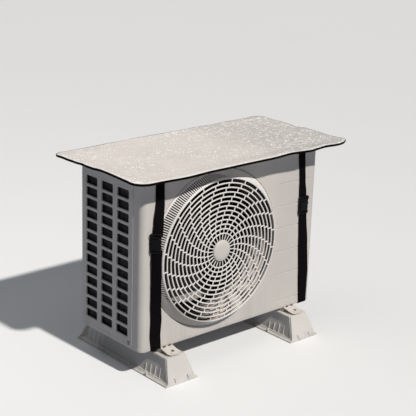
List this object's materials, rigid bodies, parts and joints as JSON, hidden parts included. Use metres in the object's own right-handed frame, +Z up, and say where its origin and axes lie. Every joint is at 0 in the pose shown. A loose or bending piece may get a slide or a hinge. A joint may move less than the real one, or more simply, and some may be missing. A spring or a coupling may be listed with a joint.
{
  "type": "air conditioner cover strapped on an outdoor unit",
  "caption": "Silver foil sun cover lying flat on an outdoor air conditioner unit and standing out past it, held by black webbing straps with buckles that pass under the unit.",
  "frame": {"origin": "on the ground under the middle of the outdoor unit, at the bottom centre of the whole", "axes": "+X to the right along the front, +Y from the fan guard to the back, +Z up"},
  "size_m": [0.961, 0.509, 0.7248],
  "materials": {
    "casing": "smooth off-white outdoor paint",
    "coil": "dark finned coil",
    "foot": "moulded, off-white",
    "rail": "painted pressed steel",
    "foil": "silver foil cloth with a fine sparkle",
    "binding": "black edge tape",
    "webbing": "black woven webbing",
    "buckle": "black moulded, slightly shiny"
  },
  "bodies": {
    "root": {"base_pan": "casing", "top_panel": "casing", "front_panel": "casing", "fan_guard": "casing", "bell_mouth": "casing", "left_grille": "casing", "right_panel": "casing", "back_grille": "casing", "coil_side": "coil", "coil_back": "coil", "foot_left": "foot", "foot_right": "foot", "leg_rail_left": "rail", "leg_rail_right": "rail", "cover_sheet": "foil", "cover_binding": "binding", "strap_left_upper": "webbing", "strap_left_lower": "webbing", "strap_left_tail": "webbing", "strap_right_upper": "webbing", "strap_right_lower": "webbing", "buckle_left_plug": "buckle", "buckle_left_socket": "buckle", "buckle_right_plug": "buckle", "buckle_right_socket": "buckle"}
  },
  "joints": []
}
